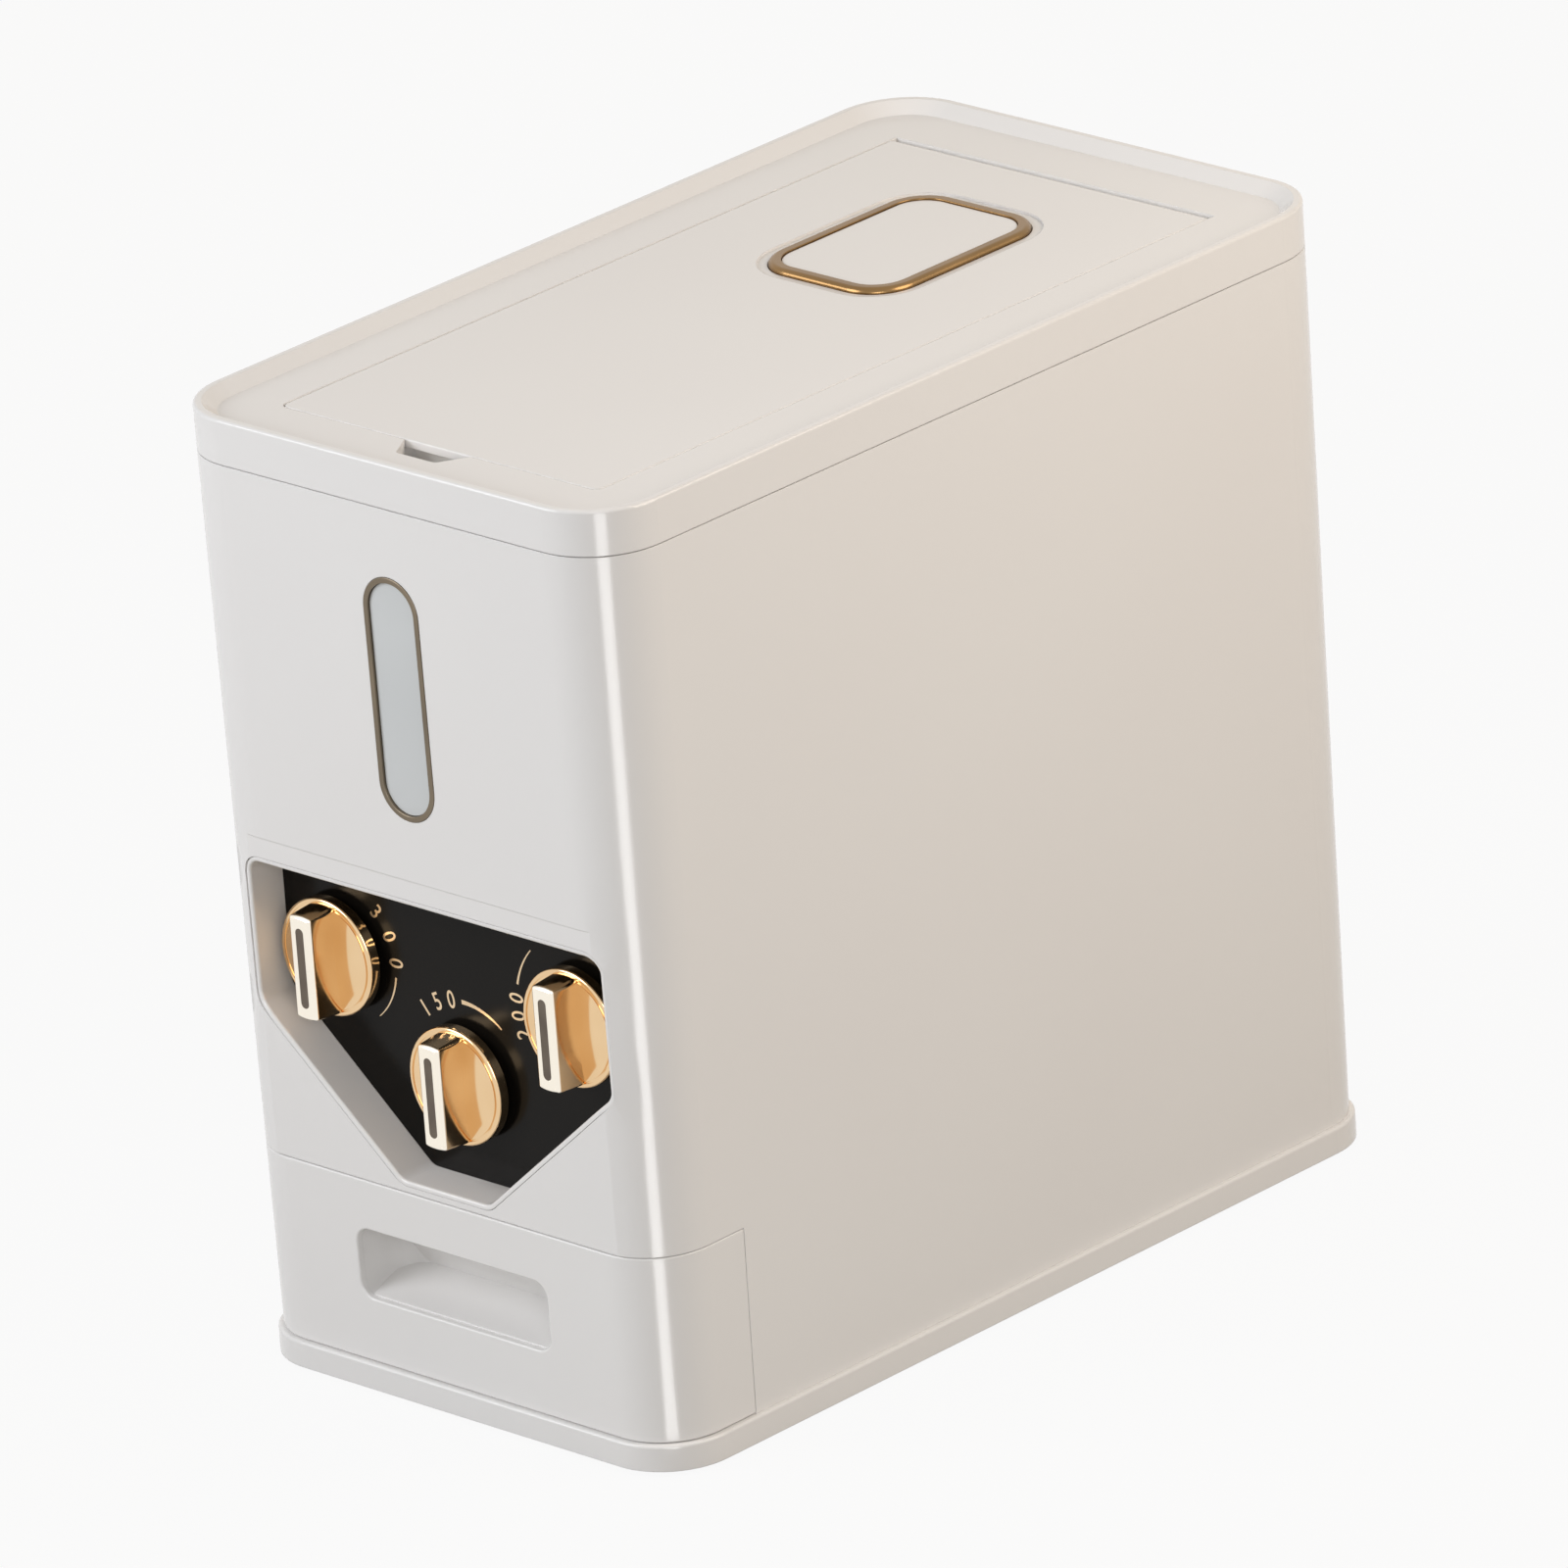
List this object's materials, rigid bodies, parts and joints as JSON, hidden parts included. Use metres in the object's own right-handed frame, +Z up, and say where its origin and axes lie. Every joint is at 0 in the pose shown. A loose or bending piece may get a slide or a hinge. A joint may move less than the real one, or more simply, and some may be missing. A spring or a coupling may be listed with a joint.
{
  "type": "rice dispenser",
  "caption": "Upright kitchen rice keeper with hinged lid, sight window, turning measuring drums behind front knobs and a pull-out rice drawer.",
  "frame": {"origin": "middle of the footprint, on the surface that the feet stand on", "axes": "+X to the right, +Y to the back, +Z up, seen from the front with its knobs and drawer"},
  "size_m": [0.202, 0.363, 0.345],
  "materials": {
    "white_shell": "satin white moulded plastic",
    "inner_plastic": "plain off-white moulded plastic",
    "drum_plastic": "grey slippery bearing plastic",
    "black_panel": "gloss black plastic with printed marks",
    "clear_pane": "clear moulded window",
    "gold_trim": "bright gold plating",
    "rose_gold": "bright rose gold plating",
    "grip_inlay": "brushed strip let into the grip",
    "rubber": "soft grey rubber",
    "clear_tray": "smooth translucent white plastic",
    "steel": "zinc plated steel"
  },
  "bodies": {
    "root": {"body_shell": "white_shell", "base_tray": "white_shell", "foot_pads": "rubber", "base_screws": "steel", "window_frame": "gold_trim", "window_pane": "clear_pane", "window_gasket": "rubber", "window_clamp": "inner_plastic", "control_bezel": "white_shell", "dial_panel": "black_panel", "panel_screws": "steel", "metering_block": "inner_plastic", "bearing_plate": "inner_plastic", "bearing_screws": "steel", "shaft_bushes": "drum_plastic", "hopper_floor": "inner_plastic", "drop_chute": "inner_plastic", "runner_left": "inner_plastic", "runner_right": "inner_plastic", "top_rim": "white_shell", "hinge_pins": "steel"},
    "lid": {"lid_panel": "white_shell", "lid_frame": "inner_plastic", "lid_seal": "rubber", "moisture_cup": "inner_plastic"},
    "moisture_cap": {"cap_panel": "white_shell", "cap_ring": "gold_trim"},
    "drawer": {"drawer_front": "white_shell", "drawer_pocket": "white_shell", "drawer_tray": "clear_tray", "drawer_screws": "steel"},
    "knob_left": {"knob_left": "rose_gold", "inlay_left": "grip_inlay", "drum_left": "drum_plastic", "clip_left": "steel"},
    "knob_middle": {"knob_middle": "rose_gold", "inlay_middle": "grip_inlay", "drum_middle": "drum_plastic", "clip_middle": "steel"},
    "knob_right": {"knob_right": "rose_gold", "inlay_right": "grip_inlay", "drum_right": "drum_plastic", "clip_right": "steel"}
  },
  "joints": [
    {"name": "drawer_slide", "type": "slide", "parent": "root", "child": "drawer", "axis": [0, -1, 0], "range_m": [0, 0.17]},
    {"name": "lid_hinge", "type": "hinge", "parent": "root", "child": "lid", "pos_m": [0, 0.147, 0.3375], "axis": [-1, 0, 0], "range_deg": [0, 95]},
    {"name": "cap_lift", "type": "slide", "parent": "lid", "child": "moisture_cap", "axis": [0, 0, 1], "range_m": [0, 0.03]},
    {"name": "turn_left", "type": "hinge", "parent": "root", "child": "knob_left", "pos_m": [-0.056, 0, 0.152], "axis": [0, 1, 0], "range_deg": [0, 180]},
    {"name": "turn_middle", "type": "hinge", "parent": "root", "child": "knob_middle", "pos_m": [0, 0, 0.118], "axis": [0, 1, 0], "range_deg": [0, 180]},
    {"name": "turn_right", "type": "hinge", "parent": "root", "child": "knob_right", "pos_m": [0.056, 0, 0.152], "axis": [0, 1, 0], "range_deg": [0, 180]}
  ]
}
